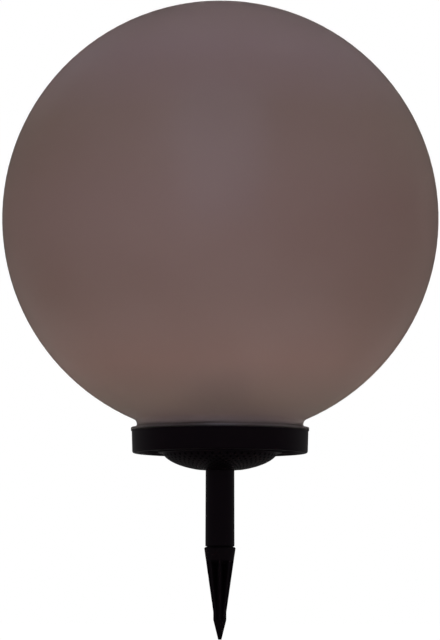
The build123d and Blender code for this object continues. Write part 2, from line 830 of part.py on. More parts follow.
board_inner = channel_inner + 2 * seat_gap
board_outer = channel_outer - 2 * seat_gap
board_top_z = channel_z + board_thickness
with BuildPart() as led_board:
    with BuildSketch(Plane.XY.offset(channel_z)):
        Circle(board_outer)
        Circle(board_inner, mode=Mode.SUBTRACT)
        with PolarLocations(light_radius, light_screw_count, start_angle=light_screw_angle):
            Circle(tiny_screw[2] + pilot_gap, mode=Mode.SUBTRACT)
        with PolarLocations(light_radius, 1, start_angle=180 + light_screw_angle):
            Circle(wire_way_radius, mode=Mode.SUBTRACT)
    extrude(amount=board_thickness)
save(led_board.part, "led_board")

with BuildPart() as led_chips:
    with BuildSketch(Plane.XY.offset(board_top_z)):
        with PolarLocations(light_radius, led_count):
            Rectangle(led_width, led_length)
    extrude(amount=led_height)
    with BuildSketch(Plane.XY.offset(board_top_z + led_height)):
        with PolarLocations(light_radius, led_count):
            Circle(led_eye_radius)
    extrude(amount=-led_eye_depth, mode=Mode.SUBTRACT)
save(led_chips.part, "led_chips")

board_screw_piece = screw(tiny_screw, head_down=False)
with BuildPart() as led_board_screws:
    with Locations(Plane.XY.offset(board_top_z)):
        with PolarLocations(light_radius, light_screw_count, start_angle=light_screw_angle):
            add(board_screw_piece)
save(led_board_screws.part, "led_board_screws")

lens_low_z = turret_top_z - lens_thickness
with BuildPart() as led_lens:
    with BuildSketch(Plane.XZ):
        with BuildLine():
            inside = (lens_inner_radius + seat_gap, turret_top_z)
            outside = (lens_outer_radius - seat_gap, turret_top_z)
            bulge = SagittaArc(outside, inside, -lens_crown)
            Polyline(inside, (inside[0], lens_low_z), (outside[0], lens_low_z), outside)
        make_face()
    revolve(axis=Axis.Z)
save(led_lens.part, "led_lens")

# ---------------------------------------------------------------- solar tower

tower_top_z = turret_top_z + tower_height
cell_floor_z = tower_top_z - window_thickness - cell_thickness
window_side = cell_side + 2 * window_margin
with BuildPart() as solar_tower:
    with BuildSketch(Plane.XY.offset(turret_top_z)):
        RectangleRounded(tower_side, tower_side, tower_corner)
    extrude(amount=tower_height, taper=tower_draft)
    fillet(solar_tower.faces().sort_by(Axis.Z)[-1].edges(), tower_edge)
    with BuildSketch(Plane.XY.offset(turret_top_z)):
        RectangleRounded(
            tower_side - 2 * tower_wall, tower_side - 2 * tower_wall, tower_corner - tower_wall
        )
    extrude(amount=cell_floor_z - tower_wall - turret_top_z, taper=tower_draft, mode=Mode.SUBTRACT)
    with BuildSketch(Plane.XY.offset(cell_floor_z)):
        Rectangle(window_side + 2 * seat_gap, window_side + 2 * seat_gap)
    extrude(amount=tower_height, mode=Mode.SUBTRACT)
    # screw bosses in the four corners
    with BuildSketch(Plane.XY.offset(turret_top_z)):
        with GridLocations(tower_screw_pitch, tower_screw_pitch, 2, 2):
            Circle(small_screw[2] + boss_wall)
    extrude(amount=cell_floor_z - tower_wall - turret_top_z)
    with BuildSketch(Plane.XY.offset(turret_top_z)):
        with GridLocations(tower_screw_pitch, tower_screw_pitch, 2, 2):
            Circle(small_screw[2] + pilot_gap)
    extrude(amount=small_screw[3], mode=Mode.SUBTRACT)
    # hole for the cell's wires
    with BuildSketch(Plane.XY.offset(cell_floor_z)):
        Circle(wire_hole_radius / 2)
    extrude(amount=-2 * tower_wall, mode=Mode.SUBTRACT)
save(solar_tower.part, "solar_tower")

with BuildPart() as solar_cell:
    with BuildSketch(Plane.XY.offset(cell_floor_z)):
        Rectangle(cell_side, cell_side)
    extrude(amount=cell_thickness)
save(solar_cell.part, "solar_cell")

with BuildPart() as cell_window:
    with BuildSketch(Plane.XY.offset(cell_floor_z)):
        Rectangle(window_side, window_side)
    extrude(amount=window_thickness + cell_thickness)
    chamfer(cell_window.faces().sort_by(Axis.Z)[-1].edges(), window_edge)
    # the cell lies in a shallow pocket of the window
    with BuildSketch(Plane.XY.offset(cell_floor_z)):
        Rectangle(cell_side + 2 * pilot_gap, cell_side + 2 * pilot_gap)
    extrude(amount=cell_thickness, mode=Mode.SUBTRACT)
save(cell_window.part, "cell_window")

tower_screw_piece = screw(small_screw, head_down=True)
with BuildPart() as tower_screws:
    with Locations(Plane.XY.offset(turret_top_z - turret_wall)):
        with GridLocations(tower_screw_pitch, tower_screw_pitch, 2, 2):
            add(tower_screw_piece)
save(tower_screws.part, "tower_screws")

# ---------------------------------------------------------------- control board

control_top_z = control_z + board_thickness
with BuildPart() as control_board:
    with BuildSketch(Plane.XY.offset(control_z)):
        with Locations((0, control_y)):
            RectangleRounded(control_length, control_width, board_corner)
            with GridLocations(2 * control_hole_x, 2 * control_hole_y, 2, 2):
                Circle(tiny_screw[2] + pilot_gap, mode=Mode.SUBTRACT)
    extrude(amount=board_thickness)
    # controller, coil, storage capacitor and plug socket
    with BuildSketch(Plane.XY.offset(control_top_z)):
        with Locations((controller_x, control_y)):
            Rectangle(controller[0], controller[1])
    extrude(amount=controller[2])
    with BuildSketch(Plane.XY.offset(control_top_z)):
        with Locations((coil_place[0], control_y + coil_place[1])):
            Circle(coil_core[0])
    extrude(amount=coil_core[1])
    with BuildSketch(Plane.XY.offset(control_top_z)):
        with Locations((capacitor_place[0], control_y + capacitor_place[1])):
            Circle(capacitor[0])
    extrude(amount=capacitor[1])
    with BuildSketch(Plane.XY.offset(control_top_z)):
        with Locations((0, control_y - control_width / 2 + connector_inset)):
            Rectangle(connector[0], connector[1])
    extrude(amount=connector[2])
save(control_board.part, "control_board")

with BuildPart() as control_board_screws:
    with Locations(Plane.XY.offset(control_top_z)):
        with Locations((0, control_y)):
            with GridLocations(2 * control_hole_x, 2 * control_hole_y, 2, 2):
                add(board_screw_piece)
save(control_board_screws.part, "control_board_screws")

# ---------------------------------------------------------------- button and switch

with BuildPart() as switch_unit:
    with BuildSketch(Plane.XY.offset(switch_board_z)):
        with Locations((0, press_y)):
            RectangleRounded(switch_board_length, switch_board_width, board_corner)
        # its outer side follows the round wall
        Circle(shelf_radius - switch_board_gap, mode=Mode.INTERSECT)
    extrude(amount=board_thickness)
    with BuildSketch(Plane.XY.offset(switch_board_z)):
        with Locations((0, press_y)):
            Rectangle(switch_side, switch_side)
    extrude(amount=-switch_height)
    with BuildSketch(Plane.XY.offset(switch_bottom_z)):
        with Locations((0, press_y)):
            Circle(press_stem_radius + slide_gap)
    extrude(amount=stem_entry + press_travel + slide_gap, mode=Mode.SUBTRACT)
save(switch_unit.part, "switch_unit")

with BuildPart() as power_button:
    with BuildSketch(Plane.XY.offset(floor_z - press_proud)):
        with Locations((0, press_y)):
            Circle(press_radius)
    extrude(amount=guide_top_z - floor_z + press_proud)
    fillet(power_button.edges().sort_by(Axis.Z)[0], press_edge)
    with BuildSketch(Plane.XY.offset(guide_top_z)):
        with Locations((0, press_y)):
            Circle(press_radius + press_flange)
    extrude(amount=press_flange_thickness)
    with BuildSketch(Plane.XY.offset(press_flange_top_z)):
        with Locations((0, press_y)):
            Circle(press_stem_radius)
    extrude(amount=press_travel + seat_gap + stem_entry)
save(power_button.part, "power_button")

with BuildPart() as button_seal:
    with BuildSketch(Plane.XY.offset(floor_z)):
        with Locations((0, press_y)):
            Circle(press_radius + wiper_width)
            Circle(press_radius + sliding_fit, mode=Mode.SUBTRACT)
    extrude(amount=wiper_height)
save(button_seal.part, "button_seal")

# ---------------------------------------------------------------- globe

inner_join_z = globe_z - sqrt(inner_globe_radius**2 - neck_bore**2)
start_angle = -degrees(asin((globe_z - neck_join_z) / globe_radius))
inner_start_angle = -degrees(asin((globe_z - inner_join_z) / inner_globe_radius))
globe_lug = sector(
    lug_radius,
    neck_bore + globe_wall / 2,
    lug_low_z,
    lug_high_z,
    0,
    globe_lug_angle,
)

with BuildPart() as globe_shade:
    with BuildSketch(Plane.XZ) as globe_profile:
        with BuildLine():
            outer_arc = CenterArc((0, globe_z), globe_radius, start_angle, 90 - start_angle)
            inner_arc = CenterArc(
                (0, globe_z), inner_globe_radius, inner_start_angle, 90 - inner_start_angle
            )
            Line(outer_arc @ 1, inner_arc @ 1)
            Polyline(
                inner_arc @ 0,
                (neck_bore, base_top_z),
                (flange_radius, base_top_z),
                (flange_radius, base_top_z + flange_thickness),
                (neck_radius, base_top_z + flange_thickness),
                outer_arc @ 0,
            )
        make_face()
        corners = globe_profile.vertices()
        fillet(corners.sort_by_distance((neck_radius, neck_join_z))[0], neck_fillet)
        corners = globe_profile.vertices()
        fillet(corners.sort_by_distance((neck_bore, inner_join_z))[0], neck_fillet + globe_wall)
        corners = globe_profile.vertices()
        fillet(
            corners.sort_by_distance((neck_radius, base_top_z + flange_thickness))[0], flange_fillet
        )
        rim = globe_profile.vertices().filter_by(lambda v: abs(v.X - flange_radius) < 0.01)
        fillet(rim, flange_edge)
    revolve(axis=Axis.Z)
    with PolarLocations(0, globe_lug_count):
        add(globe_lug)
save(globe_shade.part, "globe_shade")

print(f"height {globe_z + globe_radius - tip_z:.1f} mm, of which {-tip_z:.1f} mm goes into the ground")
base_twist = (base_lug_angle + adapter_lug_angle) / 2 + twist_margin
print(f"base turns {base_twist:.0f} degrees to come off, globe turns {globe_twist:.0f} degrees")
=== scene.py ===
from math import hypot, pi, radians, sqrt

import bpy
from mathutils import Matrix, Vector


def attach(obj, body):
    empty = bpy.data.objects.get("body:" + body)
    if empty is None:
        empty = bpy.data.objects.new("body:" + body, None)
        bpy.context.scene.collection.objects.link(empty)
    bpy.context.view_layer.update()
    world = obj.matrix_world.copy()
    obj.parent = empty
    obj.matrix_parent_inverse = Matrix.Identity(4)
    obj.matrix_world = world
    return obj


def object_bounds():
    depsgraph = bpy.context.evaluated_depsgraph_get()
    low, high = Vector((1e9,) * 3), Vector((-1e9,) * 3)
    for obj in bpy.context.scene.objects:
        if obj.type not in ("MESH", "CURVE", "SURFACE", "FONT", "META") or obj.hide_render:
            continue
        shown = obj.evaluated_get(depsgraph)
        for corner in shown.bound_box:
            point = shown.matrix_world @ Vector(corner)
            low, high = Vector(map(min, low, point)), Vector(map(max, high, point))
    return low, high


# A smoked globe light on a ground spike: finishes, moulded detail, studio and camera.
# Everything is in metres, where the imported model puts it.
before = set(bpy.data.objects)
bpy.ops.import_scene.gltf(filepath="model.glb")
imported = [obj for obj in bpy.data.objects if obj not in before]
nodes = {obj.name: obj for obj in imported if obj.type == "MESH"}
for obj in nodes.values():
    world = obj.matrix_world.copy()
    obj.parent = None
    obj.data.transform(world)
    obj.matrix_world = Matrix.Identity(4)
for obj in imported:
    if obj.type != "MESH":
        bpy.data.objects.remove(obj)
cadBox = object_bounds()
mm = 0.001
print("frame loaded:", len(nodes), "nodes")


# sRGB hex to the linear values that colour sockets hold
def toLinear(hexColour):
    channels = [int(hexColour[i:i + 2], 16) / 255 for i in (1, 3, 5)]
    return [c / 12.92 if c <= 0.04045 else ((c + 0.055) / 1.055) ** 2.4 for c in channels] + [1.0]


# adds one node with its settings, its plain inputs and the sockets that feed it
def addNode(tree, kind, settings=None, inputs=None, links=None):
    added = tree.nodes.new(kind)
    for name, value in (settings or {}).items():
        setattr(added, name, value)
    for name, value in (inputs or {}).items():
        added.inputs[name].default_value = value
    for name, source in (links or {}).items():
        tree.links.new(source, added.inputs[name])
    return added


# a material with one Principled shader, ready for its pattern nodes
def newMaterial(name, **inputs):
    material = bpy.data.materials.new(name)
    material.use_nodes = True
    tree = material.node_tree
    tree.nodes.clear()
    shader = addNode(tree, "ShaderNodeBsdfPrincipled", inputs=inputs)
    addNode(tree, "ShaderNodeOutputMaterial", links={"Surface": shader.outputs[0]})
    place = addNode(tree, "ShaderNodeTexCoord").outputs["Object"]
    return material, tree, shader, place


# the stretch of a pattern's values over which colour and roughness go from low to high
patternSpan = {"colour": (0.35, 0.65), "roughness": (0.3, 0.7)}


# lets a pattern carry a shader's colour and, where they are given, its roughness and its
# relief, which is a strength and a depth
def carryPattern(tree, shader, pattern, dark, light, span=patternSpan["colour"],
                 socket="Base Color", roughness=None, relief=None):
    ramp = addNode(tree, "ShaderNodeValToRGB", links={"Fac": pattern})
    first, last = ramp.color_ramp.elements
    first.position, last.position = span
    first.color = toLinear(dark)
    last.color = toLinear(light)
    tree.links.new(ramp.outputs["Color"], shader.inputs[socket])
    if roughness:
        spread = addNode(
            tree, "ShaderNodeMapRange",
            inputs={
                "From Min": patternSpan["roughness"][0], "From Max": patternSpan["roughness"][1],
                "To Min": roughness[0], "To Max": roughness[1],
            },
            links={"Value": pattern},
        )
        tree.links.new(spread.outputs["Result"], shader.inputs["Roughness"])
    if relief:
        bump = addNode(
            tree, "ShaderNodeBump", inputs={"Strength": relief[0], "Distance": relief[1]},
            links={"Height": pattern},
        )
        tree.links.new(bump.outputs["Normal"], shader.inputs["Normal"])


# a material whose whole look is carried by one cloudy pattern of a real size
def cloudedMaterial(name, look, **inputs):
    material, tree, shader, place = newMaterial(name, **inputs)
    cloud = addNode(
        tree, "ShaderNodeTexNoise",
        inputs={
            "Scale": 1 / look["size"], "Detail": look["detail"], "Roughness": look.get("broken", 0.5),
        },
        links={"Vector": place},
    )
    carryPattern(
        tree, shader, cloud.outputs["Fac"], look["dark"], look["light"],
        roughness=look.get("roughness"), relief=look.get("relief"),
    )
    return material


# Materials, each named for what the real one is.

# Acrylic, blown into a mould, tinted smoke brown and satin all over: it glows with the light
# behind it, shows what stands inside as a faint soft shape and has hardly any highlight. Much
# of the light is scattered in the wall, and the rest comes through blurred.
smoke = {
    "tint": "#d7c8c7", "deepTint": "#d0bfbc", "cloud": 160 * mm, "roughness": 0.30,
    "milk": "#e1d8da", "deepMilk": "#ddd3d4", "scattered": 0.42,  # the share that the wall scatters
    "peel": 9 * mm, "peelStrength": 0.5, "peelDepth": 0.02 * mm,
    # the flange is solid and three times as deep as the wall; its foot, where it sits on the black base,
    # gets painted shade: up to the first height it lets through this share, and from the second on all
    "flangeFootShade": 0.10, "flangeLow": 117.2 * mm, "flangeHigh": 118.7 * mm,
    "limb": (0.76, 0.72, 0.63),  # what a slanting look through the wall still lets through
    # height in mm and what the wall lets through there: painted light and shade by height, lighter and
    # warmer low down where light off the floor reaches the globe, darkest across the middle, and lighter
    # and cooler near the top
    "heightLight": [
        (120, (0.90, 0.96, 0.99)), (136, (0.85, 0.865, 0.82)), (171, (0.95, 0.905, 0.87)),
        (200, (0.90, 0.875, 0.85)), (230, (0.833, 0.81, 0.785)), (311, (0.81, 0.783, 0.775)),
        (389, (0.80, 0.795, 0.775)), (449, (0.862, 0.875, 0.945)),
    ],
}
smokedAcrylic, tree, shader, place = newMaterial(
    "smokedAcrylic", IOR=1.49, Roughness=smoke["roughness"], **{"Transmission Weight": 1.0}
)
cloud = addNode(
    tree, "ShaderNodeTexNoise", inputs={"Scale": 1 / smoke["cloud"], "Detail": 2.0},
    links={"Vector": place},
)
carryPattern(tree, shader, cloud.outputs["Fac"], smoke["deepTint"], smoke["tint"])
peel = addNode(
    tree, "ShaderNodeTexNoise", inputs={"Scale": 1 / smoke["peel"], "Detail": 1.0},
    links={"Vector": place},
)
waves = addNode(
    tree, "ShaderNodeBump", inputs={"Strength": smoke["peelStrength"], "Distance": smoke["peelDepth"]},
    links={"Height": peel.outputs["Fac"]},
)
tree.links.new(waves.outputs["Normal"], shader.inputs["Normal"])
milk = addNode(tree, "ShaderNodeBsdfTranslucent")
carryPattern(tree, milk, cloud.outputs["Fac"], smoke["deepMilk"], smoke["milk"], socket="Color")
height = addNode(tree, "ShaderNodeSeparateXYZ", links={"Vector": place}).outputs["Z"]
# painted shade at the flange's foot, where it sits on the black base
flangeShade = addNode(
    tree, "ShaderNodeMapRange", settings={"interpolation_type": "SMOOTHSTEP"},
    inputs={
        "From Min": smoke["flangeLow"], "From Max": smoke["flangeHigh"],
        "To Min": smoke["flangeFootShade"], "To Max": 1.0,
    },
    links={"Value": height},
)
facing = addNode(tree, "ShaderNodeLayerWeight", inputs={"Blend": 0.5})
slant = addNode(tree, "ShaderNodeValToRGB", links={"Fac": facing.outputs["Facing"]})
slant.color_ramp.elements[0].color = (1, 1, 1, 1)
slant.color_ramp.elements[1].color = (*smoke["limb"], 1)
# painted light by height: the wall's colour follows the heights and shares in heightLight
(lowest, lowestTint), *between, (highest, highestTint) = smoke["heightLight"]
share = addNode(
    tree, "ShaderNodeMapRange", inputs={"From Min": lowest * mm, "From Max": highest * mm},
    links={"Value": height},
)
heightLight = addNode(tree, "ShaderNodeValToRGB", links={"Fac": share.outputs["Result"]})
stops = heightLight.color_ramp.elements
stops[0].color = (*lowestTint, 1)
stops[1].color = (*highestTint, 1)
for level, tint in between:
    stops.new((level - lowest) / (highest - lowest)).color = (*tint, 1)
# the slanting look's real tint times the painted light by height
wallTintAndLight = addNode(
    tree, "ShaderNodeVectorMath", settings={"operation": "MULTIPLY"},
    links={0: slant.outputs["Color"], 1: heightLight.outputs["Color"]},
)
# what the wall lets through, with the painted light by height and the painted shade at the flange's foot
passedAndShaded = addNode(
    tree, "ShaderNodeVectorMath", settings={"operation": "SCALE"},
    links={0: wallTintAndLight.outputs["Vector"], "Scale": flangeShade.outputs["Result"]},
)
for part, socket in ((shader, "Base Color"), (milk, "Color")):
    tinted = addNode(
        tree, "ShaderNodeVectorMath", settings={"operation": "MULTIPLY"},
        links={0: part.inputs[socket].links[0].from_socket, 1: passedAndShaded.outputs["Vector"]},
    )
    tree.links.new(tinted.outputs["Vector"], part.inputs[socket])
wall = addNode(
    tree, "ShaderNodeMixShader", inputs={"Fac": smoke["scattered"]},
    links={1: shader.outputs[0], 2: milk.outputs[0]},
)
tree.links.new(wall.outputs[0], tree.nodes["Material Output"].inputs["Surface"])

# Plastics, injection moulded in a spark-eroded tool: satin, with faint flow marks, slightly
# polished edges and a fine even grain that breaks up the highlight. The grain is really about
# 0.35 mm wide and is drawn coarser, so that it shows.
moulding = {
    "ior": 1.54, "glossTint": (1.0, 0.72, 0.96, 1.0), "gloss": 0.5, "flow": 14 * mm, "relief": 0.35,
    # a rounded edge's normal leaves the face's own: how alike the two are where polish starts and
    # where it is full, and the roughness that it then takes off
    "edge": 0.5 * mm, "polishFrom": 0.985, "polishTo": 0.80, "polish": 0.16,
}


def mouldedPlastic(name, look):
    material, tree, shader, place = newMaterial(
        name, IOR=moulding["ior"], **{
            "Specular IOR Level": look.get("gloss", moulding["gloss"]),
            "Specular Tint": moulding["glossTint"],
        }
    )
    flow = addNode(
        tree, "ShaderNodeTexNoise", inputs={"Scale": 1 / moulding["flow"], "Detail": 4.0},
        links={"Vector": place},
    )
    carryPattern(tree, shader, flow.outputs["Fac"], look["dark"], look["light"])
    grains = addNode(
        tree, "ShaderNodeTexNoise",
        inputs={"Scale": 1 / look["grain"], "Detail": 2.0, "Roughness": 0.6}, links={"Vector": place},
    )
    rounded = addNode(
        tree, "ShaderNodeBevel", settings={"samples": 4}, inputs={"Radius": moulding["edge"]}
    )
    face = addNode(tree, "ShaderNodeNewGeometry")
    match = addNode(
        tree, "ShaderNodeVectorMath", settings={"operation": "DOT_PRODUCT"},
        links={0: rounded.outputs["Normal"], 1: face.outputs["Normal"]},
    )
    polish = addNode(
        tree, "ShaderNodeMapRange",
        inputs={
            "From Min": moulding["polishFrom"], "From Max": moulding["polishTo"],
            "To Min": 0.0, "To Max": moulding["polish"],
        },
        links={"Value": match.outputs["Value"]},
    )
    satin = addNode(
        tree, "ShaderNodeMapRange",
        inputs={
            "From Min": patternSpan["roughness"][0], "From Max": patternSpan["roughness"][1],
            "To Min": look["roughness"][0], "To Max": look["roughness"][1],
        },
        links={"Value": grains.outputs["Fac"]},
    )
    polished = addNode(
        tree, "ShaderNodeMath", settings={"operation": "SUBTRACT", "use_clamp": True},
        links={0: satin.outputs["Result"], 1: polish.outputs["Result"]},
    )
    tree.links.new(polished.outputs["Value"], shader.inputs["Roughness"])
    bump = addNode(
        tree, "ShaderNodeBump", inputs={"Strength": moulding["relief"], "Distance": look["depth"]},
        links={"Height": grains.outputs["Fac"], "Normal": rounded.outputs["Normal"]},
    )
    tree.links.new(bump.outputs["Normal"], shader.inputs["Normal"])
    return material


# ABS of the base and the adapter: near black, with a soft sheen
blackAbs = mouldedPlastic("blackAbs", {
    "dark": "#0b050a", "light": "#120a10", "roughness": (0.32, 0.42), "grain": 0.6 * mm, "depth": 0.03 * mm,
})

# The pits of the adapter's grip are eroded coarse, which leaves them hardly any sheen
erodedAbs = mouldedPlastic("erodedAbs", {
    "dark": "#0a0408", "light": "#0e070c", "roughness": (0.62, 0.76), "grain": 1.0 * mm, "depth": 0.06 * mm,
    "gloss": 0.15,
})

# Polypropylene of the pole: a touch smoother, with a wider and shallower grain
blackPolypropylene = mouldedPlastic("blackPolypropylene", {
    "dark": "#0a0409", "light": "#10090e", "roughness": (0.30, 0.40), "grain": 0.9 * mm, "depth": 0.02 * mm,
})

# The spike is of the same, from a duller tool, so its ribs and flutes look more alike; its colour is also
# set lighter than the pole's, a painted fill light that lifts the shade in its flutes
dullFillLitPolypropylene = mouldedPlastic("dullFillLitPolypropylene", {
    "dark": "#1a1318", "light": "#211a1f", "roughness": (0.48, 0.60), "grain": 0.9 * mm, "depth": 0.03 * mm,
})

# ABS of the deck and the tower inside the globe: the same grain as the base, light grey
greyAbs = mouldedPlastic("greyAbs", {
    "dark": "#d6d7da", "light": "#dedfe2", "roughness": (0.45, 0.55), "grain": 0.6 * mm, "depth": 0.03 * mm,
})

# ABS of the button: dark grey and dull, with a finer grain
buttonAbs = mouldedPlastic("buttonAbs", {
    "dark": "#1a1a1c", "light": "#232325", "roughness": (0.55, 0.65), "grain": 0.4 * mm, "depth": 0.03 * mm,
})

# Silicone rubber, pressed: dark grey, dull, with a faint bloom
siliconeRubber = cloudedMaterial("siliconeRubber", {
    "dark": "#1f1f20", "light": "#2b2b2c", "size": 6 * mm, "detail": 5.0,
    "roughness": (0.62, 0.78), "relief": (0.2, 0.03 * mm),
}, IOR=1.43, **{"Sheen Weight": 0.15})

# The globe's seal is of natural silicone, milky white, so the neck above it stays light
naturalSilicone = cloudedMaterial("naturalSilicone", {
    "dark": "#d9d4cd", "light": "#e6e2dc", "size": 5 * mm, "detail": 3.0,
    "roughness": (0.45, 0.60), "relief": (0.2, 0.02 * mm),
}, IOR=1.43, **{"Subsurface Weight": 0.3})

# Stainless steel screws: cold headed, then tumbled, so bright and softly scratched all ways
stainlessSteel = cloudedMaterial("stainlessSteel", {
    "dark": "#9a9a9c", "light": "#c9c8c6", "size": 0.5 * mm, "detail": 6.0, "broken": 0.7,
    "roughness": (0.22, 0.40), "relief": (0.3, 0.01 * mm),
}, Metallic=1.0)

# Spring steel and contact plates, nickel plated: bright and slightly warm
nickelPlate = cloudedMaterial("nickelPlate", {
    "dark": "#b8b2a4", "light": "#d8d3c8", "size": 1.5 * mm, "detail": 3.0, "roughness": (0.18, 0.32),
}, Metallic=1.0)

# Silicone with yellow phosphor, cast into each light chip: fine specks under a glossy skin
phosphorResin = cloudedMaterial("phosphorResin", {
    "dark": "#d9a63a", "light": "#ecc65c", "size": 0.3 * mm, "detail": 2.0,
}, IOR=1.45, Roughness=0.25)

# Clear acrylic of the light ring's cover and the cell's window: moulded, polished faces,
# so nearly invisible but for its rim
clearAcrylic = cloudedMaterial("clearAcrylic", {
    "dark": "#eef1f1", "light": "#f8fafa", "size": 4 * mm, "detail": 3.0, "roughness": (0.04, 0.10),
}, IOR=1.49, **{"Transmission Weight": 1.0})

# Shrink sleeve round the cells: glossy green film with faint wrinkles
cellSleeve = cloudedMaterial("cellSleeve", {
    "dark": "#1d5c30", "light": "#2b7a44", "size": 3 * mm, "detail": 3.0,
    "roughness": (0.25, 0.4), "relief": (0.2, 0.05 * mm),
}, IOR=1.5, **{"Coat Weight": 0.3})

# Glass-fibre board under solder mask: glossy lacquer with copper tracks that stand a
# little proud under it
boardLook = {
    "track": 0.8 * mm, "pitch": 2.5 * mm, "run": 9 * mm, "offset": 0.37, "soft": 0.2,
    "span": (0.3, 0.7), "relief": (0.4, 0.04 * mm),
}


def maskedBoard(name, mask, track):
    material, tree, shader, place = newMaterial(name, IOR=1.52, Roughness=0.3, **{"Coat Weight": 0.5})
    tracks = addNode(
        tree, "ShaderNodeTexBrick", settings={"offset": boardLook["offset"], "squash": 1.0},
        inputs={
            "Scale": 1.0, "Color1": (0, 0, 0, 1), "Color2": (0, 0, 0, 1), "Mortar": (1, 1, 1, 1),
            "Mortar Size": boardLook["track"] / 2, "Mortar Smooth": boardLook["soft"],
            "Brick Width": boardLook["run"], "Row Height": boardLook["pitch"],
        },
        links={"Vector": place},
    )
    carryPattern(
        tree, shader, tracks.outputs["Fac"], mask, track,
        span=boardLook["span"], relief=boardLook["relief"],
    )
    return material


greenBoard = maskedBoard("greenBoard", "#0f4a26", "#1f6b3a")
whiteBoard = maskedBoard("whiteBoard", "#e4e3dd", "#d2d1c8")

# Monocrystalline cell, textured and coated: deep blue-black with thin silver fingers every
# 2 mm and two wider bars across them
cellLook = {
    "silicon": "#0b1020", "silver": "#8d9198", "span": (0.4, 0.6), "roughness": (0.25, 0.45),
    # the axis that the lines cross, their pitch and the share of it that a line takes
    "lines": [("Y", 2 * mm, 0.14), ("X", 25 * mm, 0.064)],
    # in pitches: whole ones, so that no place is below zero, and half a one, which puts the two
    # bars on either side of the middle
    "shift": 100.5,
}
solarSilicon, tree, shader, place = newMaterial(
    "solarSilicon", IOR=1.6, **{"Coat Weight": 0.6, "Coat Roughness": 0.08}
)
axes = addNode(tree, "ShaderNodeSeparateXYZ", links={"Vector": place})
stripes = []
for axis, pitch, width in cellLook["lines"]:
    line = axes.outputs[axis]
    steps = [("DIVIDE", pitch), ("ADD", cellLook["shift"]), ("FRACT", 0.0), ("LESS_THAN", width)]
    for operation, value in steps:
        line = addNode(
            tree, "ShaderNodeMath", settings={"operation": operation}, inputs={1: value},
            links={0: line},
        ).outputs[0]
    stripes.append(line)
silver = addNode(
    tree, "ShaderNodeMath", settings={"operation": "MAXIMUM"}, links={0: stripes[0], 1: stripes[1]}
)
carryPattern(
    tree, shader, silver.outputs[0], cellLook["silicon"], cellLook["silver"],
    span=cellLook["span"], roughness=cellLook["roughness"],
)

finishes = {
    smokedAcrylic: ["globe_shade"],
    blackAbs: ["base_cup", "stake_adapter", "battery_door", "battery_holder"],
    greyAbs: ["base_deck", "solar_tower"],
    blackPolypropylene: ["stake_pole"],
    dullFillLitPolypropylene: ["ground_spike"],
    buttonAbs: ["power_button"],
    siliconeRubber: ["adapter_seal", "deck_gasket", "battery_door_seal", "button_seal"],
    naturalSilicone: ["globe_seal"],
    stainlessSteel: [
        "deck_screws", "battery_door_screws", "control_board_screws", "led_board_screws",
        "tower_screws",
    ],
    nickelPlate: ["contact_springs", "contact_strip"],
    greenBoard: ["control_board", "switch_unit"],
    whiteBoard: ["led_board"],
    phosphorResin: ["led_chips"],
    clearAcrylic: ["led_lens", "cell_window"],
    solarSilicon: ["solar_cell"],
    cellSleeve: ["battery_cells"],
}
for material, names in finishes.items():
    for name in names:
        for slot in nodes[name].material_slots:
            slot.material = material
print("finishes on the packed nodes:", sum(len(names) for names in finishes.values()))


# Modelling helpers.

def deselectAll():
    if bpy.context.object and bpy.context.object.mode != "OBJECT":
        bpy.ops.object.mode_set(mode="OBJECT")
    bpy.ops.object.select_all(action="DESELECT")


def startEdit(piece, kind="FACE"):
    deselectAll()
    piece.select_set(True)
    bpy.context.view_layer.objects.active = piece
    bpy.ops.object.mode_set(mode="EDIT")
    bpy.ops.mesh.select_mode(type=kind)
    bpy.ops.mesh.select_all(action="DESELECT")


def endEdit():
    bpy.ops.object.mode_set(mode="OBJECT")


# selects the faces or edges of a mesh that pass a test, in edit mode
def pick(piece, kind, test):
    bpy.ops.object.mode_set(mode="OBJECT")
    for item in {"FACE": piece.data.polygons, "EDGE": piece.data.edges}[kind]:
        item.select = bool(test(item))
    bpy.ops.object.mode_set(mode="EDIT")


# gives a new primitive its name and puts its place in its mesh
def named(name):
    piece = bpy.context.object
    piece.name = name
    piece.data.name = name
    bpy.ops.object.transform_apply(location=True, rotation=True, scale=True)
    return piece


# a skin round the stake's axis: a circle extruded from ring to ring, each ring a radius and a
# height, and left in edit mode
def extrudeRings(name, around, rings):
    radius, level = rings[0]
    deselectAll()
    bpy.ops.mesh.primitive_circle_add(
        vertices=around, radius=radius, fill_type="NOTHING", location=(0, 0, level)
    )
    piece = named(name)
    startEdit(piece, "EDGE")
    bpy.ops.mesh.select_all(action="SELECT")
    for nextRadius, nextLevel in rings[1:]:
        widening = nextRadius / radius
        bpy.ops.mesh.extrude_edges_move()
        bpy.ops.transform.resize(value=(widening, widening, 1), center_override=(0, 0, level))
        bpy.ops.transform.translate(value=(0, 0, nextLevel - level))
        radius, level = nextRadius, nextLevel
    return piece


# last steps of every new piece: faces outwards, finish and body
def finishPiece(piece, material, body, smoothAngle):
    startEdit(piece)
    bpy.ops.mesh.select_all(action="SELECT")
    bpy.ops.mesh.normals_make_consistent(inside=False)
    endEdit()
    bpy.ops.object.shade_smooth_by_angle(angle=radians(smoothAngle))
    piece.data.materials.clear()
    piece.data.materials.append(material)
    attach(piece, body)


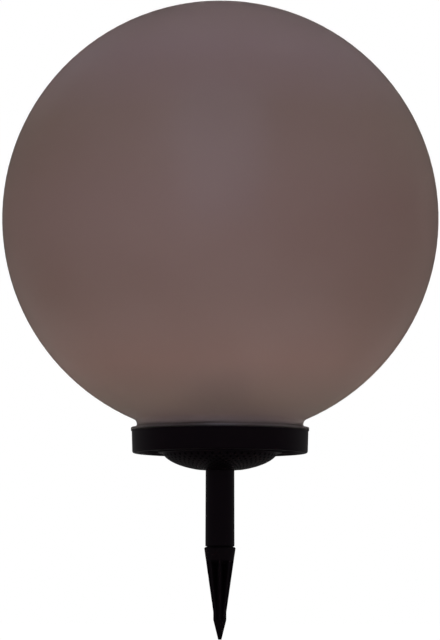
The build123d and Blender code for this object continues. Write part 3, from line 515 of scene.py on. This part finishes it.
# Moulded grip on the dome under the base: a net of diamonds, finer towards the pole, with an
# eroded pit in each. Angles are in degrees.
grip = {
    "around": 48, "tall": 1.05,  # rays, and how tall a diamond is for its width
    "outer": 52.9 * mm, "inner": 21.5 * mm, "border": 0.27,  # border: a pit's inset, for its size
    "net": 0.30 * mm, "netDepth": 0.60 * mm,  # how far it stands proud of the dome, and how thick it is
    "pit": 0.03 * mm, "pitDepth": 0.3 * mm,
    "domeRadius": 53.3 * mm, "domeDepth": 20.1 * mm, "rim": 100.4 * mm,  # the adapter's own dome
    "halfStep": 0.96,  # from a ring to about halfway to the next, where the slope is taken
    "onRing": 0.02 * mm,  # how near a point on a ring is to it
    "smoothAngle": 20,
}
domeRadius, domeDepth = grip["domeRadius"], grip["domeDepth"]


def domeLevel(radius):
    return grip["rim"] - domeDepth * sqrt(1 - (radius / domeRadius) ** 2)


# rings as far apart along the dome's slope as the rays are round it
ringRadii = [grip["outer"]]
while ringRadii[-1] > grip["inner"]:
    middle = ringRadii[-1] * grip["halfStep"]
    slope = domeDepth * middle / domeRadius ** 2 / sqrt(1 - (middle / domeRadius) ** 2)
    ringRadii.append(ringRadii[-1] * (1 - grip["tall"] * 2 * pi / grip["around"] / hypot(1, slope)))
domeGrip = extrudeRings("domeGrip", grip["around"], [(ring, domeLevel(ring)) for ring in ringRadii])
bpy.ops.mesh.select_all(action="SELECT")
bpy.ops.mesh.normals_make_consistent(inside=False)
bpy.ops.mesh.poke()
endEdit()
# the ring and ray edges go, all but the two borders, which leaves the diamonds
reach = [hypot(v.co.x, v.co.y) for v in domeGrip.data.vertices]
onRing = [min(abs(r - ring) for ring in ringRadii) < grip["onRing"] for r in reach]


def isInnerLine(edge):
    a, b = edge.vertices
    middle = (reach[a] + reach[b]) / 2
    onBorder = min(abs(middle - ring) for ring in (ringRadii[0], ringRadii[-1])) < grip["onRing"]
    return onRing[a] and onRing[b] and not onBorder


startEdit(domeGrip, "EDGE")
pick(domeGrip, "EDGE", isInnerLine)
bpy.ops.mesh.dissolve_edges(use_verts=False)
bpy.ops.mesh.select_mode(type="FACE")
pick(domeGrip, "FACE", lambda face: len(face.vertices) == 4)
bpy.ops.mesh.inset(thickness=grip["border"], use_individual=True, use_relative_offset=True)
bpy.ops.mesh.separate(type="SELECTED")
endEdit()
domeGripPits = next(piece for piece in bpy.context.selected_objects if piece != domeGrip)
domeGripPits.name = domeGripPits.data.name = "domeGripPits"
outwards = 1 if domeGrip.data.polygons[0].normal.z < 0 else -1
for piece, proud, depth in (
    (domeGrip, grip["net"], grip["netDepth"]), (domeGripPits, grip["pit"], grip["pitDepth"]),
):
    startEdit(piece)
    bpy.ops.mesh.select_all(action="SELECT")
    bpy.ops.mesh.subdivide(number_cuts=1)
    endEdit()
    wrap = piece.modifiers.new("wrap", "SHRINKWRAP")
    wrap.target = nodes["stake_adapter"]
    bpy.ops.object.modifier_apply(modifier="wrap")
    shell = piece.modifiers.new("shell", "SOLIDIFY")
    shell.thickness = depth
    shell.offset = (2 * proud / depth - 1) * outwards
    bpy.ops.object.modifier_apply(modifier="shell")
finishPiece(domeGrip, blackAbs, "adapter", grip["smoothAngle"])
finishPiece(domeGripPits, erodedAbs, "adapter", grip["smoothAngle"])
rows, faces = len(ringRadii) - 1, len(domeGrip.data.polygons)
print("dome grip:", rows, "rows of", grip["around"], "and", faces, "faces")

# Rounded corner between the base's floor and its outer lip
lipRound = {
    "around": 160, "smoothAngle": 60,
    # radius and height in mm from the lip's edge to the floor, then back into both
    "profile": [
        (76.68, 97.0), (76.2, 97.25), (75.7, 97.7), (75.25, 98.3), (74.9, 99.0), (74.65, 99.7),
        (74.5, 100.45), (76.0, 100.6), (76.8, 99.8),
    ],
}
lipFillet = extrudeRings(
    "lipFillet", lipRound["around"], [(radius * mm, level * mm) for radius, level in lipRound["profile"]]
)
bpy.ops.mesh.select_all(action="DESELECT")
bpy.ops.mesh.select_non_manifold()
bpy.ops.mesh.bridge_edge_loops()
endEdit()
finishPiece(lipFillet, blackAbs, "base", lipRound["smoothAngle"])
print("lip fillet:", len(lipFillet.data.polygons), "faces")


# Studio.

# the kinds of ray, and a 1 where the eye sees a thing itself or through the globe
def askRays(tree):
    rays = addNode(tree, "ShaderNodeLightPath")
    seen = addNode(
        tree, "ShaderNodeMath", settings={"operation": "MAXIMUM"},
        links={0: rays.outputs["Is Camera Ray"], 1: rays.outputs["Is Transmission Ray"]},
    )
    return rays, seen.outputs[0]


# Matt white floor just under the tip of the spike. To the eye and through the globe it glows as
# well, so that it is as white as the cyclorama. Far behind the light it is lit brighter, which
# only glossy surfaces pick up.
floorLook = {
    "size": 9.0, "gap": 0.6 * mm, "paint": "#dcdcdc", "glow": 0.965,
    "sweepFrom": 0.4, "sweepTo": 1.2, "sweep": 0.07,
}
deselectAll()
bpy.ops.mesh.primitive_plane_add(size=floorLook["size"], location=(0, 0, cadBox[0][2] - floorLook["gap"]))
floor = named("studioFloor")
paintedFloor = bpy.data.materials.new("paintedFloor")
paintedFloor.use_nodes = True
tree = paintedFloor.node_tree
tree.nodes.clear()
paint = addNode(tree, "ShaderNodeBsdfDiffuse", inputs={"Color": toLinear(floorLook["paint"])})
glow = addNode(
    tree, "ShaderNodeEmission", inputs={"Color": (1, 1, 1, 1), "Strength": floorLook["glow"]}
)
glowing = addNode(tree, "ShaderNodeAddShader", links={0: paint.outputs[0], 1: glow.outputs[0]})
rays, seen = askRays(tree)
floorFace = addNode(
    tree, "ShaderNodeMixShader", links={"Fac": seen, 1: paint.outputs[0], 2: glowing.outputs[0]}
)
place = addNode(tree, "ShaderNodeTexCoord").outputs["Object"]
away = addNode(tree, "ShaderNodeSeparateXYZ", links={"Vector": place})
lit = addNode(
    tree, "ShaderNodeMapRange", settings={"interpolation_type": "SMOOTHSTEP"},
    inputs={
        "From Min": floorLook["sweepFrom"], "From Max": floorLook["sweepTo"],
        "To Min": 0.0, "To Max": floorLook["sweep"],
    },
    links={"Value": away.outputs["Y"]},
)
gloss = addNode(
    tree, "ShaderNodeMath", settings={"operation": "MULTIPLY"},
    links={0: lit.outputs["Result"], 1: rays.outputs["Is Glossy Ray"]},
)
sweep = addNode(
    tree, "ShaderNodeEmission", inputs={"Color": (1, 1, 1, 1)}, links={"Strength": gloss.outputs[0]}
)
surface = addNode(tree, "ShaderNodeAddShader", links={0: floorFace.outputs[0], 1: sweep.outputs[0]})
addNode(tree, "ShaderNodeOutputMaterial", links={"Surface": surface.outputs[0]})
paintedFloor.cycles.emission_sampling = "NONE"
floor.data.materials.append(paintedFloor)

# White cyclorama all round for the eye and through the globe, with dim room light on the
# surfaces
room = {"backdrop": 1.0, "roomLight": 0.07}
world = bpy.data.worlds.new("studioWorld")
bpy.context.scene.world = world
world.use_nodes = True
tree = world.node_tree
tree.nodes.clear()
rays, seen = askRays(tree)
dim, bright = [
    addNode(tree, "ShaderNodeBackground", inputs={"Color": (1, 1, 1, 1), "Strength": strength})
    for strength in (room["roomLight"], room["backdrop"])
]
around = addNode(
    tree, "ShaderNodeMixShader", links={"Fac": seen, 1: dim.outputs[0], 2: bright.outputs[0]}
)
addNode(tree, "ShaderNodeOutputWorld", links={"Surface": around.outputs[0]})
world.cycles.sampling_method = "NONE"

# Soft boxes: name, place, width and height, watts, colour. All are aimed at the foot of the
# globe. The front one stands as a faint cool stripe in the globe alone: flags keep it off the
# rest.
softBoxes = [
    ("softBoxTop", (0.0, 0.4, 2.4), (1.6, 1.6), 0.9, "#ffffff"),
    ("softBoxLeft", (-0.9, 2.4, 0.6), (0.8, 1.4), 0.14, "#ffffff"),
    ("softBoxRight", (0.9, 2.4, 0.6), (0.8, 1.4), 0.11, "#ffffff"),
    ("softBoxFront", (0.0, -1.85, 1.30), (1.6, 3.0), 13.0, "#bad3ff"),
]
aim = Vector((0, 0, 0.15))
globeOnly = bpy.data.collections.new("globeOnly")
globeOnly.objects.link(nodes["globe_shade"])
for name, spot, size, watts, colour in softBoxes:
    light = bpy.data.lights.new(name, "AREA")
    light.shape = "RECTANGLE"
    light.size, light.size_y = size
    light.energy = watts
    light.color = toLinear(colour)[:3]
    softBox = bpy.data.objects.new(name, light)
    softBox.location = spot
    softBox.rotation_euler = (aim - Vector(spot)).to_track_quat("-Z", "Y").to_euler()
    softBox.visible_camera = False
    if name == "softBoxFront":
        softBox.visible_diffuse = softBox.visible_transmission = False
        softBox.light_linking.receiver_collection = globeOnly
    bpy.context.scene.collection.objects.link(softBox)
print("studio set")

# Camera at the photograph's angle: three metres off, low, looking a little up. Angles are in
# degrees, the lens and the sensor in mm.
view = {
    "distance": 3.0, "height": -50 * mm, "aside": 0.18 * mm, "pitch": 5.117, "roll": -0.08,
    "lens": 184.99, "sensor": 36, "clipEnd": 60,
}
camera = bpy.data.objects.new("photoCamera", bpy.data.cameras.new("photoCamera"))
camera.location = (view["aside"], -view["distance"], view["height"])
camera.rotation_euler = (radians(90 + view["pitch"]), radians(view["roll"]), 0)
camera.data.sensor_width = view["sensor"]
camera.data.lens = view["lens"]
camera.data.clip_end = view["clipEnd"]
bpy.context.scene.collection.objects.link(camera)
bpy.context.scene.camera = camera
bpy.context.scene.view_settings.view_transform = "Standard"
bpy.context.scene.view_settings.look = "None"
